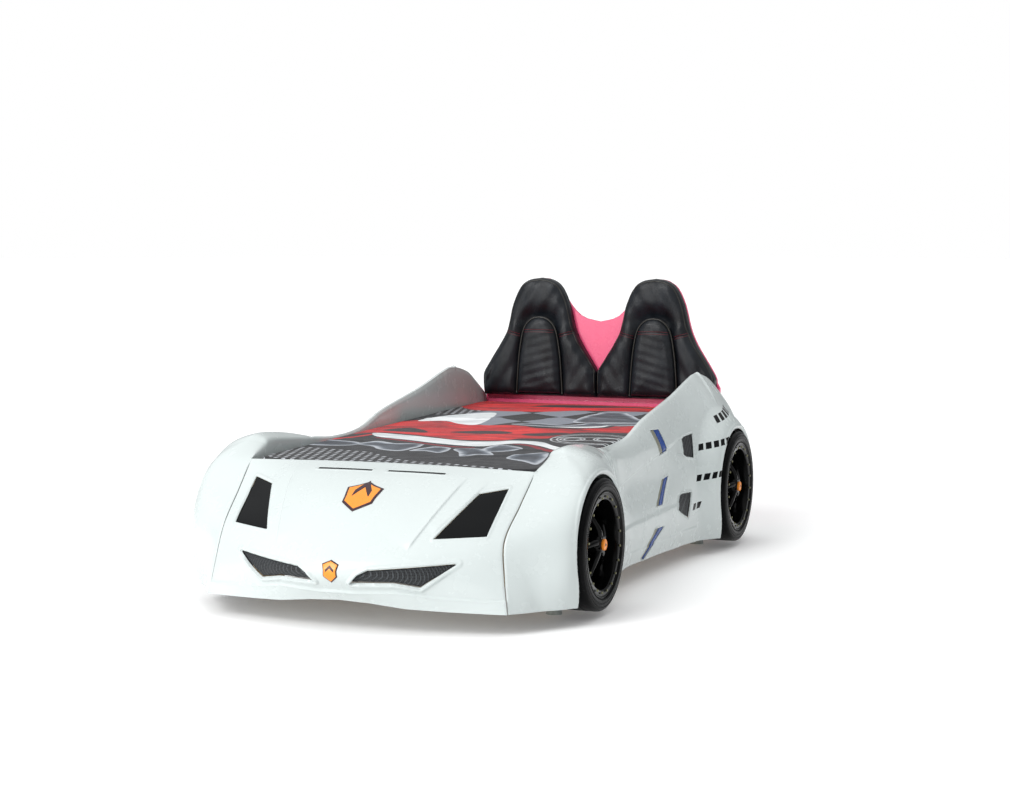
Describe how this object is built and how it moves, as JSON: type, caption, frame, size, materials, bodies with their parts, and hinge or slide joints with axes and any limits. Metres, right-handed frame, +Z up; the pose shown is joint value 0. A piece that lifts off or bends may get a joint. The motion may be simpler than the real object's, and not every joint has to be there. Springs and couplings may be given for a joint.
{
  "type": "race-car bed",
  "caption": "Single bed shaped as a low sports car: moulded shell with hood and fenders, four wheels, slatted base, mattress, bedspread and two bucket seat backs as the headboard.",
  "frame": {"origin": "on the floor, under the middle of the bed's outer box", "axes": "+Z up, -Y towards the nose (the foot end), +Y towards the seat backs (the head end), +X to the right of a viewer who stands at the nose"},
  "size_m": [1.274, 2.331, 0.947],
  "materials": {
    "body_white": "glossy moulded",
    "headboard_red": "glossy",
    "seat_leather": "soft grained",
    "mattress_fabric": "quilted ticking",
    "bedspread_fabric": "printed cotton",
    "board": "melamine-faced board",
    "softwood": "planed",
    "black_plastic": "matte moulded",
    "zinc_steel": "zinc plated",
    "foot_plastic": "translucent moulded",
    "tyre_black": "glossy moulded",
    "rim_black": "glossy moulded",
    "cap_orange": "glossy",
    "rivet_cream": "satin",
    "gloss_black": "smoked, glossy",
    "mesh_black": "fine mesh print",
    "inlay_blue": "glossy",
    "inlay_grey": "satin"
  },
  "bodies": {
    "bed": {"front_panel": "body_white", "left_side_panel": "body_white", "right_side_panel": "body_white", "rear_panel": "body_white", "headboard": "headboard_red", "left_seat_back": "seat_leather", "right_seat_back": "seat_leather", "left_seat_insert": "seat_leather", "right_seat_insert": "seat_leather", "left_side_rail": "board", "right_side_rail": "board", "front_bulkhead": "board", "rear_bulkhead": "headboard_red", "ledge_strips": "softwood", "slats": "softwood", "slat_holders": "black_plastic", "leg_blocks": "softwood", "corner_brackets": "zinc_steel", "front_left_tyre": "tyre_black", "front_right_tyre": "tyre_black", "rear_left_tyre": "tyre_black", "rear_right_tyre": "tyre_black", "front_left_rim": "rim_black", "front_right_rim": "rim_black", "rear_left_rim": "rim_black", "rear_right_rim": "rim_black", "front_left_hub_cap": "cap_orange", "front_right_hub_cap": "cap_orange", "rear_left_hub_cap": "cap_orange", "rear_right_hub_cap": "cap_orange", "rim_rivets": "rivet_cream", "wheel_liners": "black_plastic", "wheel_bolts": "zinc_steel", "left_headlight": "gloss_black", "right_headlight": "gloss_black", "left_grille": "mesh_black", "right_grille": "mesh_black", "hood_slots": "mesh_black", "hood_badge": "cap_orange", "nose_badge": "cap_orange", "left_vents": "mesh_black", "right_vents": "mesh_black", "blue_inlays": "inlay_blue", "grey_inlays": "inlay_grey", "leg_bolts": "zinc_steel", "panel_screws": "zinc_steel", "seat_bolts": "zinc_steel", "headboard_screws": "zinc_steel"},
    "mattress_set": {"mattress": "mattress_fabric", "bedspread": "bedspread_fabric"},
    "front_left_leveller": {"front_left_foot": "foot_plastic", "front_left_stem": "zinc_steel"},
    "front_right_leveller": {"front_right_foot": "foot_plastic", "front_right_stem": "zinc_steel"},
    "rear_left_leveller": {"rear_left_foot": "foot_plastic", "rear_left_stem": "zinc_steel"},
    "rear_right_leveller": {"rear_right_foot": "foot_plastic", "rear_right_stem": "zinc_steel"}
  },
  "joints": [
    {"name": "mattress_lift", "type": "slide", "parent": "bed", "child": "mattress_set", "axis": [0, 0, 1], "range_m": [0, 0.3]},
    {"name": "front_left_foot_level", "type": "slide", "parent": "bed", "child": "front_left_leveller", "axis": [0, 0, -1], "range_m": [0, 0.012]},
    {"name": "front_right_foot_level", "type": "slide", "parent": "bed", "child": "front_right_leveller", "axis": [0, 0, -1], "range_m": [0, 0.012]},
    {"name": "rear_left_foot_level", "type": "slide", "parent": "bed", "child": "rear_left_leveller", "axis": [0, 0, -1], "range_m": [0, 0.012]},
    {"name": "rear_right_foot_level", "type": "slide", "parent": "bed", "child": "rear_right_leveller", "axis": [0, 0, -1], "range_m": [0, 0.012]}
  ]
}
